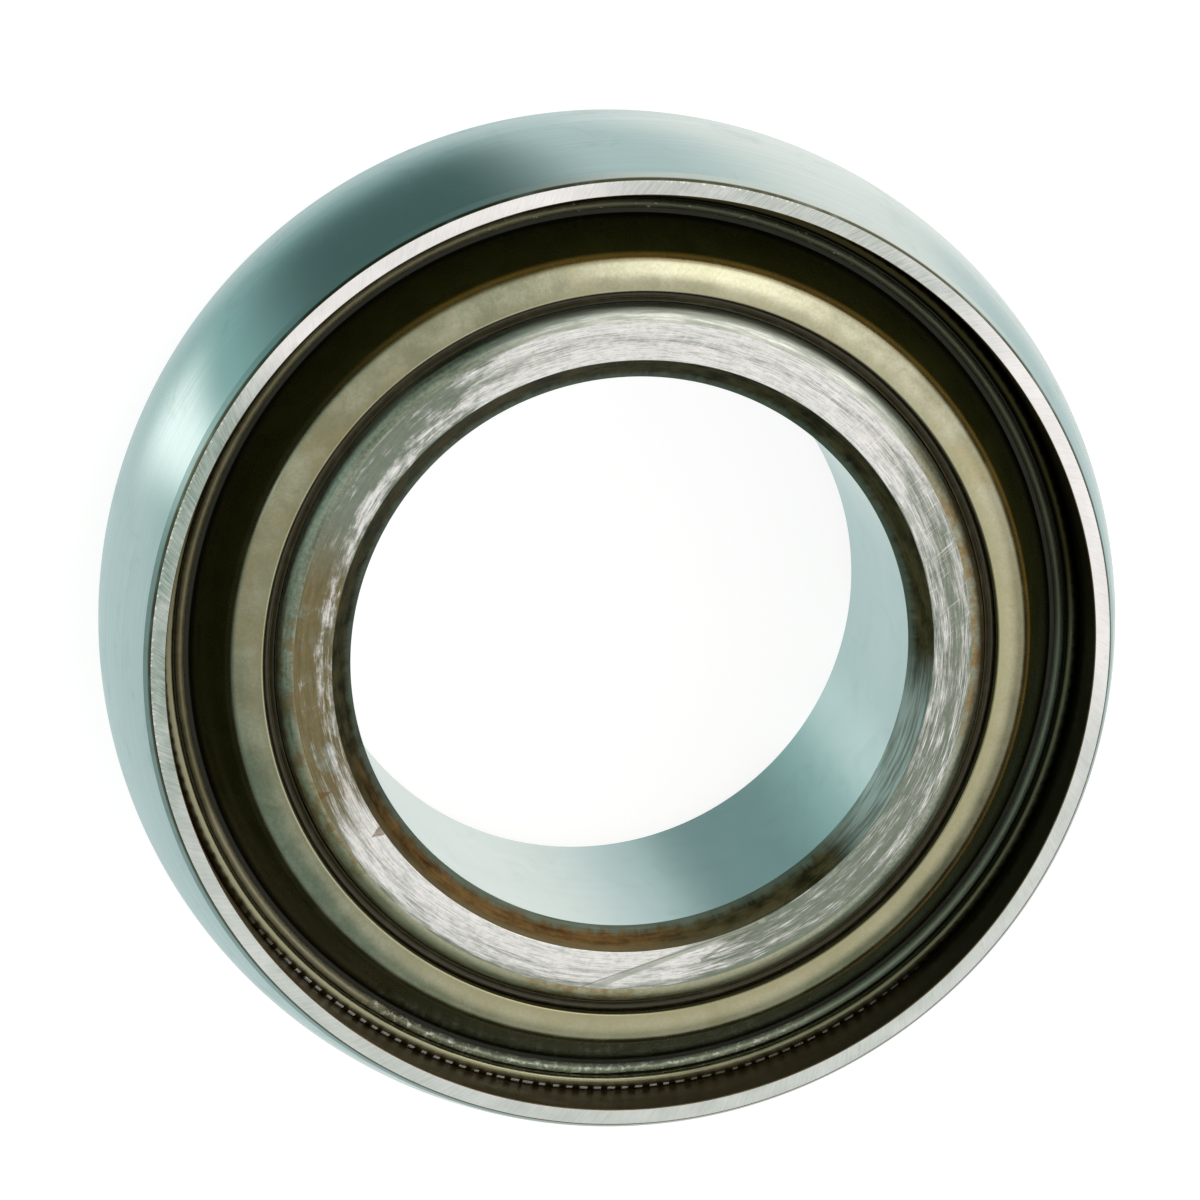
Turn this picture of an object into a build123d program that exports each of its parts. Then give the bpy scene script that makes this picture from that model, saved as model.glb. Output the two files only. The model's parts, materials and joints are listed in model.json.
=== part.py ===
"""Sealed agricultural ball bearing, 210 size, with a spherical outer ring and a wide round-bore inner ring.

The bearing lies on its back face with its axis along Z and its centre at the origin. Its ten balls run
between two grooved rings, spaced by a riveted ribbon cage. Each side is closed by a stamped carrier that
holds a triple-lip rubber seal, and by a stamped shroud whose flange the carrier's rim is rolled over.
"""

from build123d import *
from math import sqrt
import os

# Driving dimensions, in millimetres
bore_diameter = 49.225
outer_diameter = 90.0
width = 30.18
ball_diameter = 12.7
pitch_diameter = 70.0
ball_count = 10

# Rings
half_width = width / 2
outer_radius = outer_diameter / 2
bore_radius = bore_diameter / 2
pitch_radius = pitch_diameter / 2
ball_radius = ball_diameter / 2
race_clearance = 0.02
outer_groove_radius = 0.53 * ball_diameter
inner_groove_radius = 0.515 * ball_diameter
outer_groove_centre = pitch_radius + ball_radius + race_clearance - outer_groove_radius
inner_groove_centre = pitch_radius - ball_radius - race_clearance + inner_groove_radius
outer_shoulder_radius = 38.8
inner_land_radius = 31.25
face_rim_radius = 42.25
rim_bevel_height = 1.04
recess_radius = 40.9
seal_seat_height = 7.3
recess_break = 0.12
bore_chamfer_radial = 1.9
bore_chamfer_axial = 2.05
inner_corner_radius = 1.5

# Cage
cage_sheet = 0.85
cage_inner_radius = 32.9
cage_outer_radius = 36.9
pocket_clearance = 0.14
pocket_radius = ball_radius + pocket_clearance
rivet_radius = 1.0
rivet_hole_clearance = 0.02
rivet_head_radius = 1.55
rivet_head_height = 0.6
half_pitch_angle = 180 / ball_count

# Seal carrier, as the middle line of its sheet
press_gap = 0.01
carrier_sheet = 0.6
carrier_nose_radius = 33.0
carrier_nose_height = 12.1
carrier_bend_radius = 34.7
carrier_foot_radius = 37.35
hem_radius = 0.35
hem_top = 9.5
hem_tip_height = 8.63

# Shroud, as the middle line of its sheet
shroud_sheet = 0.7
shroud_flange_height = seal_seat_height + carrier_sheet + shroud_sheet / 2
shroud_flange_radius = 40.1
shroud_foot_radius = 38.0
shroud_foot_bend = 0.5
shroud_shoulder = (34.9, 13.2)
shroud_shoulder_bend = 1.0
shroud_crown = (33.6, 13.8)
shroud_crown_bend = 5.0
shroud_nose = (32.32, 14.06)
bead_radius = 0.4
bead_centre_radius = 39.05

# Rubber seal
lip_gap = 0.12
lip_tip_radius = inner_land_radius + lip_gap
seal_body_inner = 32.45
seal_body_outer = 34.0
seal_body_bottom = 11.3
seal_body_top = 12.85
lip_root = 0.7
lip_edge = 0.3
lip_bead_radius = 0.3
lip_bead_centre = (32.0, 13.15)

Z_MIRROR = Plane.XY


def build_outer_ring():
    """Spherical outside, ball groove inside, and a deep recess at each end for a seal."""
    groove_edge = sqrt(outer_groove_radius**2 - (outer_shoulder_radius - outer_groove_centre) ** 2)
    bevel_start = half_width - rim_bevel_height
    bevel_radius = sqrt(outer_radius**2 - bevel_start**2)
    with BuildPart() as ring:
        with BuildSketch(Plane.XZ):
            with BuildLine():
                RadiusArc(
                    (outer_groove_centre + outer_groove_radius, 0),
                    (outer_shoulder_radius, groove_edge),
                    -outer_groove_radius,
                )
                Polyline(
                    (outer_shoulder_radius, groove_edge),
                    (outer_shoulder_radius, seal_seat_height),
                    (recess_radius, seal_seat_height),
                    (recess_radius, half_width - recess_break),
                    (recess_radius + recess_break, half_width),
                    (face_rim_radius, half_width),
                    (bevel_radius, bevel_start),
                )
                RadiusArc((bevel_radius, bevel_start), (outer_radius, 0), outer_radius)
                Line((outer_radius, 0), (outer_groove_centre + outer_groove_radius, 0))
            make_face()
        revolve(axis=Axis.Z)
        mirror(about=Z_MIRROR)
    return ring.part


def build_inner_ring():
    """Round bore with wide chamfers, ball groove outside, and a ground land under each seal."""
    groove_edge = sqrt(inner_groove_radius**2 - (inner_groove_centre - inner_land_radius) ** 2)
    groove_bottom = inner_groove_centre - inner_groove_radius
    with BuildPart() as ring:
        with BuildSketch(Plane.XZ):
            with BuildLine():
                Polyline(
                    (groove_bottom, 0),
                    (bore_radius, 0),
                    (bore_radius, half_width - bore_chamfer_axial),
                    (bore_radius + bore_chamfer_radial, half_width),
                    (inner_land_radius - inner_corner_radius, half_width),
                )
                RadiusArc(
                    (inner_land_radius - inner_corner_radius, half_width),
                    (inner_land_radius, half_width - inner_corner_radius),
                    inner_corner_radius,
                )
                Line(
                    (inner_land_radius, half_width - inner_corner_radius),
                    (inner_land_radius, groove_edge),
                )
                RadiusArc(
                    (inner_land_radius, groove_edge),
                    (groove_bottom, 0),
                    -inner_groove_radius,
                )
            make_face()
        revolve(axis=Axis.Z)
        mirror(about=Z_MIRROR)
    return ring.part


def build_ball(angle):
    """One ball, at its place on the pitch circle."""
    with BuildPart() as ball:
        with PolarLocations(pitch_radius, 1, start_angle=angle):
            Sphere(ball_radius)
    return ball.part


def build_cage_half():
    """Upper half of the ribbon cage: domed pockets over the balls, and flats between them for the rivets."""
    with BuildPart() as half:
        Cylinder(cage_outer_radius, cage_sheet, align=(Align.CENTER, Align.CENTER, Align.MIN))
        with PolarLocations(pitch_radius, ball_count):
            Sphere(pocket_radius + cage_sheet)
        with BuildSketch() as band:
            Circle(cage_outer_radius)
            Circle(cage_inner_radius, mode=Mode.SUBTRACT)
        extrude(amount=pocket_radius + cage_sheet, mode=Mode.INTERSECT)
        with PolarLocations(pitch_radius, ball_count):
            Sphere(pocket_radius, mode=Mode.SUBTRACT)
        with PolarLocations(pitch_radius, ball_count, start_angle=half_pitch_angle):
            Hole(rivet_radius + rivet_hole_clearance)
    return half.part


def build_rivet(angle):
    """One cage rivet, with a domed head on both sides, at its place between two pockets."""
    dome = (rivet_head_radius**2 + rivet_head_height**2) / (2 * rivet_head_height)
    with BuildPart() as blank:
        with BuildSketch(Plane.XZ):
            with BuildLine():
                Polyline(
                    (0, cage_sheet + rivet_head_height),
                    (0, 0),
                    (rivet_radius, 0),
                    (rivet_radius, cage_sheet),
                    (rivet_head_radius, cage_sheet),
                )
                RadiusArc(
                    (0, cage_sheet + rivet_head_height),
                    (rivet_head_radius, cage_sheet),
                    dome,
                )
            make_face()
        revolve(axis=Axis.Z)
        mirror(about=Z_MIRROR)
    with BuildPart() as rivet:
        with PolarLocations(pitch_radius, 1, start_angle=angle):
            add(blank.part)
    return rivet.part


def build_carrier():
    """Stamped seal carrier: seated flange, cone towards the lips, and a rim rolled inward over the shroud."""
    half_sheet = carrier_sheet / 2
    wall_radius = recess_radius - press_gap - half_sheet
    flange_height = seal_seat_height + half_sheet
    tip_radius = wall_radius - 2 * hem_radius - press_gap
    with BuildPart() as carrier:
        with BuildSketch(Plane.XZ):
            with BuildLine():
                middle = FilletPolyline(
                    (carrier_nose_radius, carrier_nose_height),
                    (carrier_bend_radius, carrier_nose_height),
                    (carrier_foot_radius, flange_height),
                    (wall_radius, flange_height),
                    (wall_radius, hem_top - half_sheet),
                    (tip_radius, hem_top - half_sheet),
                    (tip_radius, hem_tip_height),
                    radius=[0.6, 0.6, 0.4, hem_radius, hem_radius],
                )
            trace(middle, carrier_sheet)
        revolve(axis=Axis.Z)
    return carrier.part


def build_shroud():
    """Stamped shroud: flange with a raised bead, steep cone, and a crowned nose over the lips."""
    with BuildPart() as shroud:
        with BuildSketch(Plane.XZ):
            with BuildLine():
                middle = FilletPolyline(
                    (shroud_flange_radius, shroud_flange_height),
                    (shroud_foot_radius, shroud_flange_height),
                    shroud_shoulder,
                    shroud_crown,
                    shroud_nose,
                    radius=[shroud_foot_bend, shroud_shoulder_bend, shroud_crown_bend],
                )
            trace(middle, shroud_sheet)
            with Locations((bead_centre_radius, shroud_flange_height + shroud_sheet / 2)):
                Circle(bead_radius)
        revolve(axis=Axis.Z)
    return shroud.part


def build_seal_lips(carrier):
    """Rubber seal bonded over the carrier's nose: a beaded dirt lip, a middle lip and a grease lip."""
    with BuildPart() as seal:
        with BuildSketch(Plane.XZ):
            with Locations((seal_body_inner, seal_body_bottom)):
                Rectangle(
                    seal_body_outer - seal_body_inner,
                    seal_body_top - seal_body_bottom,
                    align=(Align.MIN, Align.MIN),
                )
            for root_height, tip_height in ((12.1, 13.35), (11.75, 11.95), (11.3, 10.3)):
                with BuildLine():
                    Polyline(
                        (seal_body_inner, root_height),
                        (seal_body_inner, root_height + lip_root),
                        (lip_tip_radius, tip_height + lip_edge),
                        (lip_tip_radius, tip_height),
                        close=True,
                    )
                make_face()
            with Locations(lip_bead_centre):
                Circle(lip_bead_radius)
        revolve(axis=Axis.Z)
        add(carrier, mode=Mode.SUBTRACT)
    return seal.part


def mirrored(part):
    """The same piece on the other side of the bearing."""
    with BuildPart() as copy:
        mirror(part, about=Z_MIRROR)
    return copy.part


def build_pieces():
    """Every piece of the bearing, by its name."""
    carrier = build_carrier()
    lips = build_seal_lips(carrier)
    shroud = build_shroud()
    cage_half = build_cage_half()
    pieces = {
        "outer_ring": build_outer_ring(),
        "inner_ring": build_inner_ring(),
        "cage_front_half": cage_half,
        "cage_back_half": mirrored(cage_half),
        "front_seal_carrier": carrier,
        "front_seal_lips": lips,
        "front_seal_shroud": shroud,
        "back_seal_carrier": mirrored(carrier),
        "back_seal_lips": mirrored(lips),
        "back_seal_shroud": mirrored(shroud),
    }
    for number in range(ball_count):
        angle = number * 360 / ball_count
        pieces[f"ball_{number + 1:02d}"] = build_ball(angle)
        pieces[f"cage_rivet_{number + 1:02d}"] = build_rivet(angle + half_pitch_angle)
    return pieces


os.makedirs("parts", exist_ok=True)
for name, part in build_pieces().items():
    part.label = name
    export_step(part, f"parts/{name}.step")
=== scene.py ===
import json
from math import asin, atan2, cos, degrees, pi, radians, sin, sqrt, tan

import bpy
from mathutils import Matrix, Quaternion, Vector


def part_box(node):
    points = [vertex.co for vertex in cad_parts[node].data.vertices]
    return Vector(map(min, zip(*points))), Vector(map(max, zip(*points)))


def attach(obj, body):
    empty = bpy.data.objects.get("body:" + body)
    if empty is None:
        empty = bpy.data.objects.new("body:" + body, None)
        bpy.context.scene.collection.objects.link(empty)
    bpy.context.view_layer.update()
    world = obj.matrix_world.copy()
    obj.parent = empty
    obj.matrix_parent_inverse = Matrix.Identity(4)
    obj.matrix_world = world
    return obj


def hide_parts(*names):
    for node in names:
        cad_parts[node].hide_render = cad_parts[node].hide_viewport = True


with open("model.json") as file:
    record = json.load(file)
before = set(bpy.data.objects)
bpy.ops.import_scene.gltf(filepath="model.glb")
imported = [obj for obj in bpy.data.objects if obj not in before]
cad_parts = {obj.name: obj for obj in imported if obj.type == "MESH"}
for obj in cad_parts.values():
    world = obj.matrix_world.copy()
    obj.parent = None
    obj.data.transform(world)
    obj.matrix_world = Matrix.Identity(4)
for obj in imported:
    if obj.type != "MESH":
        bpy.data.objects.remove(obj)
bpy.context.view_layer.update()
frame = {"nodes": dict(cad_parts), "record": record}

MM = 0.001
NODES = frame["nodes"]
OUTER_BODY = "outer_ring_assembly"
INNER_BODY = "inner_ring"


# ---------------------------------------------------------------- sizes, read from the frame

HALF_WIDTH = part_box("outer_ring")[1][2]
OUTER_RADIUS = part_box("outer_ring")[1][0]
LAND_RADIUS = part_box("inner_ring")[1][0]
BORE = next(mount["dims"] for mount in frame["record"]["mounts"] if mount["name"] == "bore")
BORE_RADIUS = BORE["r_mm"] * MM
BORE_LENGTH = BORE["length_mm"] * MM
FLOOR_HEIGHT = -HALF_WIDTH - 0.01 * MM


# ---------------------------------------------------------------- camera

LENS = 233.1
SENSOR = 36.0
VIEW_DISTANCE = 0.6885
VIEW_AZIMUTH = 123.3
VIEW_ELEVATION = 73.47
VIEW_ROLL = 145.6
VIEW_TARGET = Vector((-0.61, 1.65, 0.0)) * MM


def direction(azimuth, elevation):
    """A unit vector, from its angle around +Z and its height above the floor, in degrees."""
    a, e = radians(azimuth), radians(elevation)
    return Vector((cos(e) * cos(a), cos(e) * sin(a), sin(e)))


def make_camera():
    """A long lens that looks at the front face from above, a little off the bearing's axis."""
    data = bpy.data.cameras.new("camera")
    data.lens = LENS
    data.sensor_width = SENSOR
    data.clip_start = 0.01
    data.clip_end = 20.0
    camera = bpy.data.objects.new("camera", data)
    bpy.context.scene.collection.objects.link(camera)
    back = direction(VIEW_AZIMUTH, VIEW_ELEVATION)
    turn = back.to_track_quat("Z", "Y") @ Quaternion((0, 0, 1), radians(VIEW_ROLL))
    place = Matrix.Translation(VIEW_TARGET + VIEW_DISTANCE * back)
    camera.matrix_world = place @ turn.to_matrix().to_4x4()
    bpy.context.scene.camera = camera


make_camera()


# ---------------------------------------------------------------- lathe tools

SUPPORT = 0.04 * MM
SEGMENTS = 720


def arc(centre, radius, start, end, steps):
    """Points of an arc in the (radius, height) plane, with angles in degrees."""
    angles = [radians(start + (end - start) * i / steps) for i in range(steps + 1)]
    return [(centre[0] + radius * cos(a), centre[1] + radius * sin(a)) for a in angles]


def fillet(before, corner, after, radius, steps=6):
    """The corner of an outline as a short arc."""
    corner, before, after = Vector(corner), Vector(before), Vector(after)
    a, b = (before - corner), (after - corner)
    half = a.angle(b) / 2
    reach = min(radius / tan(half), 0.495 * a.length, 0.495 * b.length)
    radius = reach * tan(half)
    a.normalize()
    b.normalize()
    centre = corner + (a + b).normalized() * radius / sin(half)
    start, end = corner + a * reach - centre, corner + b * reach - centre
    turn = atan2(start.x * end.y - start.y * end.x, start.dot(end))
    turns = [turn * i / steps for i in range(steps + 1)]
    return [
        (
            centre.x + start.x * cos(t) - start.y * sin(t),
            centre.y + start.x * sin(t) + start.y * cos(t),
        )
        for t in turns
    ]


def outline(corners):
    """A closed outline and its zones, from corners of (radius, height, fillet radius, zone)."""
    points, zones = [], []
    for i, (r, z, rounding, zone) in enumerate(corners):
        if rounding:
            before, after = corners[i - 1][:2], corners[(i + 1) % len(corners)][:2]
            rounded = fillet(before, (r, z), after, rounding)
        else:
            rounded = [(r, z)]
        points.extend(rounded)
        zones.extend([zone] * len(rounded))
    return supported(points, zones)


def supported(points, zones):
    """Adds a point just inside each end of a long straight run, so that its shading stays flat."""
    new_points, new_zones = [], []
    count = len(points)
    for i in range(count):
        a, b = Vector(points[i]), Vector(points[(i + 1) % count])
        new_points.append(points[i])
        new_zones.append(zones[i])
        length = (b - a).length
        if length > 8 * SUPPORT:
            step = (b - a) / length * SUPPORT
            for p in (a + step, b - step):
                new_points.append((p.x, p.y))
                new_zones.append(zones[i])
    return new_points, new_zones


def lathe(name, points, zones, materials, segments=SEGMENTS, shift=None):
    """Turns a closed outline about +Z. Each stretch of the outline takes the material of its zone."""
    verts, faces, kinds = [], [], []
    count = len(points)
    for s in range(segments):
        angle = 2 * pi * s / segments
        ca, sa = cos(angle), sin(angle)
        for i, (r, z) in enumerate(points):
            if shift:
                r, z = shift(r, z, angle)
            verts.append((r * ca, r * sa, z))
    for s in range(segments):
        a, b = s * count, ((s + 1) % segments) * count
        for i in range(count):
            j = (i + 1) % count
            faces.append((a + i, b + i, b + j, a + j))
            kinds.append(zones[i])
    mesh = bpy.data.meshes.new(name)
    mesh.from_pydata(verts, [], faces)
    names = list(materials)
    for material in materials.values():
        mesh.materials.append(material)
    mesh.polygons.foreach_set("material_index", [names.index(k) for k in kinds])
    mesh.polygons.foreach_set("use_smooth", [True] * len(faces))
    mesh.update()
    area = sum(
        points[i][0] * points[(i + 1) % count][1] - points[(i + 1) % count][0] * points[i][1]
        for i in range(count)
    )
    if area < 0:
        mesh.flip_normals()
    piece = bpy.data.objects.new(name, mesh)
    bpy.context.scene.collection.objects.link(piece)
    return piece


def upside_down(points, zones):
    """The outline of the same piece on the other side of the bearing, with each stretch's zone kept."""
    return [(r, -z) for r, z in reversed(points)], zones[-2::-1] + zones[-1:]


def both_ends(corners, zone_at_middle):
    """Adds the lower half to corners that run over the top, from one side's middle to the other's."""
    zones = [zone_at_middle] + [corner[3] for corner in corners[:-1]]
    lower = [(r, -z, rounding, zone) for (r, z, rounding, _), zone in zip(corners, zones)]
    return corners + lower[::-1]


# ---------------------------------------------------------------- node tools


class Nodes:
    """Shorthand for building a node tree out of numbers, sockets and the nodes between them."""

    def __init__(self, tree):
        self.tree = tree
        self.tree.nodes.clear()

    def new(self, kind):
        return self.tree.nodes.new(kind)

    def link(self, a, b):
        self.tree.links.new(a, b)

    def feed(self, value, socket):
        if isinstance(value, bpy.types.NodeSocket):
            self.link(value, socket)
        elif isinstance(value, tuple) and socket.type == "RGBA":
            socket.default_value = (*value, 1.0)
        else:
            socket.default_value = value

    def math(self, kind, a, b=0.0):
        n = self.new("ShaderNodeMath")
        n.operation = kind
        self.feed(a, n.inputs[0])
        self.feed(b, n.inputs[1])
        return n.outputs[0]

    def times(self, *values):
        product = values[0]
        for v in values[1:]:
            product = self.math("MULTIPLY", product, v)
        return product

    def plus(self, *values):
        total = values[0]
        for v in values[1:]:
            total = self.math("ADD", total, v)
        return total

    def most(self, a, b):
        return self.math("MAXIMUM", a, b)

    def split(self, vector):
        n = self.new("ShaderNodeSeparateXYZ")
        self.link(vector, n.inputs[0])
        return n.outputs

    def vector(self, x, y, z):
        n = self.new("ShaderNodeCombineXYZ")
        for value, socket in zip((x, y, z), n.inputs):
            self.feed(value, socket)
        return n.outputs[0]

    def noise(self, where, scale=1.0, detail=4.0, rough=0.55, distortion=0.0):
        n = self.new("ShaderNodeTexNoise")
        self.link(where, n.inputs["Vector"])
        n.inputs["Scale"].default_value = scale
        n.inputs["Detail"].default_value = detail
        n.inputs["Roughness"].default_value = rough
        n.inputs["Distortion"].default_value = distortion
        return n.outputs[0]

    def span(self, value, low, high, start=0.0, end=1.0):
        """Takes a value between two limits smoothly to a factor, held at its ends."""
        n = self.new("ShaderNodeMapRange")
        n.interpolation_type = "SMOOTHSTEP"
        self.feed(value, n.inputs["Value"])
        for key, number in (("From Min", low), ("From Max", high), ("To Min", start), ("To Max", end)):
            n.inputs[key].default_value = number
        return n.outputs["Result"]

    def mix(self, factor, a, b):
        """Colour a at a factor of 0, and colour b at 1."""
        n = self.new("ShaderNodeMix")
        n.data_type = "RGBA"
        self.feed(factor, n.inputs[0])
        self.feed(a, n.inputs[6])
        self.feed(b, n.inputs[7])
        return n.outputs[2]

    def along(self, x, y, azimuth):
        """How far a place lies in one direction over the floor."""
        a = radians(azimuth)
        return self.plus(self.times(x, cos(a)), self.times(y, sin(a)))


class Surface(Nodes):
    """A material, with the places that its marks are laid out by."""

    def __init__(self, name):
        self.material = bpy.data.materials.new(name)
        self.material.use_nodes = True
        super().__init__(self.material.node_tree)
        self.shader = self.new("ShaderNodeBsdfPrincipled")
        output = self.new("ShaderNodeOutputMaterial")
        self.link(self.shader.outputs[0], output.inputs[0])
        self.place = self.new("ShaderNodeTexCoord").outputs["Object"]
        self.x, self.y, self.z = self.split(self.place)
        self.radius = self.math("SQRT", self.plus(self.times(self.x, self.x), self.times(self.y, self.y)))
        self.height = self.math("ABSOLUTE", self.z)
        self.turn = self.math("ARCTAN2", self.y, self.x)

    def round_place(self, around, across, along=0.0, seed=0.0):
        """Coordinates laid round the axis: the lower a number, the longer the marks in that direction."""
        c = self.math("DIVIDE", self.x, self.radius)
        s = self.math("DIVIDE", self.y, self.radius)
        u = self.plus(self.times(c, around), seed)
        v = self.plus(self.times(s, around), seed)
        w = self.plus(self.times(self.radius, across), self.times(self.z, along))
        return self.vector(u, v, w)

    def slanted_place(self, around, across, lean, middle, seed=0.0):
        """As round_place, for marks that lean off the radius, and lie on it at a middle radius."""
        c = self.math("DIVIDE", self.x, self.radius)
        s = self.math("DIVIDE", self.y, self.radius)
        turn = self.times(self.plus(self.radius, -middle), lean)
        u = self.times(self.plus(c, self.times(s, turn, -1.0)), around)
        v = self.times(self.plus(s, self.times(c, turn)), around)
        return self.vector(self.plus(u, seed), self.plus(v, seed), self.times(self.radius, across))

    def straight_place(self, azimuth, lengthwise, crosswise, seed=0.0):
        """Coordinates for straight marks that run in one direction over a flat face."""
        u = self.times(self.along(self.x, self.y, azimuth), lengthwise)
        v = self.times(self.along(self.x, self.y, azimuth + 90), crosswise)
        return self.vector(u, v, self.plus(self.times(self.z, crosswise), seed))

    def beside(self, azimuth, inner, outer):
        """1 within an angle of one azimuth, and 0 beyond a larger angle."""
        c = self.math("DIVIDE", self.along(self.x, self.y, azimuth), self.radius)
        return self.span(c, cos(radians(outer)), cos(radians(inner)))

    def row(self, middle, inner, outer):
        """1 within a distance of one radius, and 0 beyond a larger distance."""
        return self.span(self.math("ABSOLUTE", self.plus(self.radius, -middle)), inner, outer, 1.0, 0.0)

    def line(self, a, b, half_width, soft):
        """1 on a straight line between two places on a flat face, in millimetres."""
        a, b = Vector(a) * MM, Vector(b) * MM
        azimuth = degrees(atan2(b.y - a.y, b.x - a.x))
        across = self.along(self.x, self.y, azimuth + 90)
        level = cos(radians(azimuth)) * a.y - sin(radians(azimuth)) * a.x
        off = self.math("ABSOLUTE", self.plus(across, -level))
        forward = self.along(self.x, self.y, azimuth)
        start = cos(radians(azimuth)) * a.x + sin(radians(azimuth)) * a.y
        end = start + (b - a).length
        begun = self.span(forward, start, start + soft)
        ended = self.span(forward, end - soft, end, 1.0, 0.0)
        return self.times(begun, ended, self.span(off, half_width, half_width + soft, 1.0, 0.0))

    def between(self, start, end, half_width, soft):
        """As line, between two places given as an azimuth and a radius in millimetres."""
        places = [(r * cos(radians(a)), r * sin(radians(a))) for a, r in (start, end)]
        return self.line(*places, half_width, soft)

    def wedge(self, azimuth, wide_end, tip, half_width):
        """A wedge along the radius, from its wide end to its tip, in millimetres."""
        across = self.math("ABSOLUTE", self.along(self.x, self.y, azimuth + 90))
        width = self.span(self.radius, tip * MM, wide_end * MM, 0.0, half_width * MM)
        same_side = self.span(self.along(self.x, self.y, azimuth), 0.0, 0.001)
        low, high = sorted((wide_end, tip))
        ends = self.times(
            self.span(self.radius, (low - 0.1) * MM, low * MM),
            self.span(self.radius, high * MM, (high + 0.1) * MM, 1.0, 0.0),
        )
        inside = self.span(self.math("SUBTRACT", width, across), -0.05 * MM, 0.08 * MM)
        return self.times(inside, same_side, ends)

    def bump(self, height, strength, distance, below=None):
        """A relief, which may lie on top of a coarser one."""
        n = self.new("ShaderNodeBump")
        n.inputs["Strength"].default_value = strength
        n.inputs["Distance"].default_value = distance
        self.link(height, n.inputs["Height"])
        if below is not None:
            self.link(below, n.inputs["Normal"])
        return n.outputs[0]

    def finish(self, colour, roughness, normal=None, metallic=1.0, **fixed):
        """Feeds the shader, and sets the numbers that are the same all over."""
        self.feed(colour, self.shader.inputs["Base Color"])
        self.feed(roughness, self.shader.inputs["Roughness"])
        self.feed(metallic, self.shader.inputs["Metallic"])
        for key, value in fixed.items():
            self.shader.inputs[key.replace("_", " ")].default_value = value
        if normal is not None:
            self.link(normal, self.shader.inputs["Normal"])
        return self.material


def srgb(red, green, blue):
    """A colour given as 0 to 255 display values, as the linear values that shaders take."""
    def linear(v):
        v = v / 255
        return v / 12.92 if v <= 0.04045 else ((v + 0.055) / 1.055) ** 2.4
    return tuple(linear(v) for v in (red, green, blue))


# ---------------------------------------------------------------- outer ring

FACE_RIM = 42.25 * MM
BEVEL_HEIGHT = 1.04 * MM
RECESS_RADIUS = 40.9 * MM
SEAT_HEIGHT = 7.3 * MM
SHOULDER_RADIUS = 38.8 * MM
BALL_DIAMETER = 12.7 * MM
PITCH_RADIUS = 35.0 * MM
RACE_CLEARANCE = 0.02 * MM
OUTER_GROOVE = 0.53 * BALL_DIAMETER
OUTER_GROOVE_CENTRE = PITCH_RADIUS + BALL_DIAMETER / 2 + RACE_CLEARANCE - OUTER_GROOVE


def run(points, zone):
    """Points as corners with no rounding, all of one zone."""
    return [(r, z, 0, zone) for r, z in points]


def make_outer_ring(materials):
    """The outer ring: raceway, seat of the seal, recess, face, bevel and spherical outside."""
    bevel_foot = HALF_WIDTH - BEVEL_HEIGHT
    bevel_radius = sqrt(OUTER_RADIUS**2 - bevel_foot**2)
    bevel_angle = degrees(asin(bevel_foot / OUTER_RADIUS))
    groove_half = sqrt(OUTER_GROOVE**2 - (SHOULDER_RADIUS - OUTER_GROOVE_CENTRE) ** 2)
    groove_end = degrees(asin(groove_half / OUTER_GROOVE))
    half = run(arc((OUTER_GROOVE_CENTRE, 0), OUTER_GROOVE, 2, groove_end, 12), "race")
    half += [
        (SHOULDER_RADIUS, SEAT_HEIGHT, 0.1 * MM, "recess"),
        (RECESS_RADIUS, SEAT_HEIGHT, 0.1 * MM, "recess"),
        (RECESS_RADIUS, HALF_WIDTH - 0.1 * MM, 0.03 * MM, "lip"),
        (RECESS_RADIUS + 0.08 * MM, HALF_WIDTH, 0.03 * MM, "face"),
        (FACE_RIM, HALF_WIDTH, 0.08 * MM, "bevel"),
        (bevel_radius, bevel_foot, 0.1 * MM, "outside"),
    ]
    half += run(arc((0, 0), OUTER_RADIUS, bevel_angle - 0.8, 0.4, 24), "outside")
    points, zones = outline(both_ends(half, "race"))
    piece = lathe("outer_ring_body", points, zones, materials)
    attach(piece, OUTER_BODY)
    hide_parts("outer_ring")


def ground_outside():
    """The ground spherical outside: clean grey steel with fine grinding lines and a few dull smears."""
    m = Surface("ground_spherical_outside")
    lines = m.noise(m.round_place(2.5, 0, 9000), 1.0, 3.0)
    hair = m.noise(m.round_place(14, 0, 26000, 3.0), 1.0, 2.0)
    clouds = m.noise(m.place, 45.0, 3.0)
    smear = m.noise(m.round_place(9, 0, 160, 2.0), 1.0, 5.0, 0.6, 0.8)
    colour = m.mix(clouds, srgb(200, 210, 208), srgb(218, 224, 222))
    colour = m.mix(m.times(lines, 0.3), colour, srgb(164, 180, 178))
    colour = m.mix(m.span(smear, 0.58, 0.74, 0.0, 0.2), colour, srgb(160, 174, 168))
    rough = m.plus(m.span(lines, 0.3, 0.7, 0.16, 0.24), m.span(smear, 0.5, 0.7, 0.0, 0.05))
    relief = m.bump(hair, 0.04, 0.00005, m.bump(lines, 0.04, 0.0001))
    return m.finish(colour, rough, relief, Anisotropic=0.5, Anisotropic_Rotation=0.25)


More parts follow.
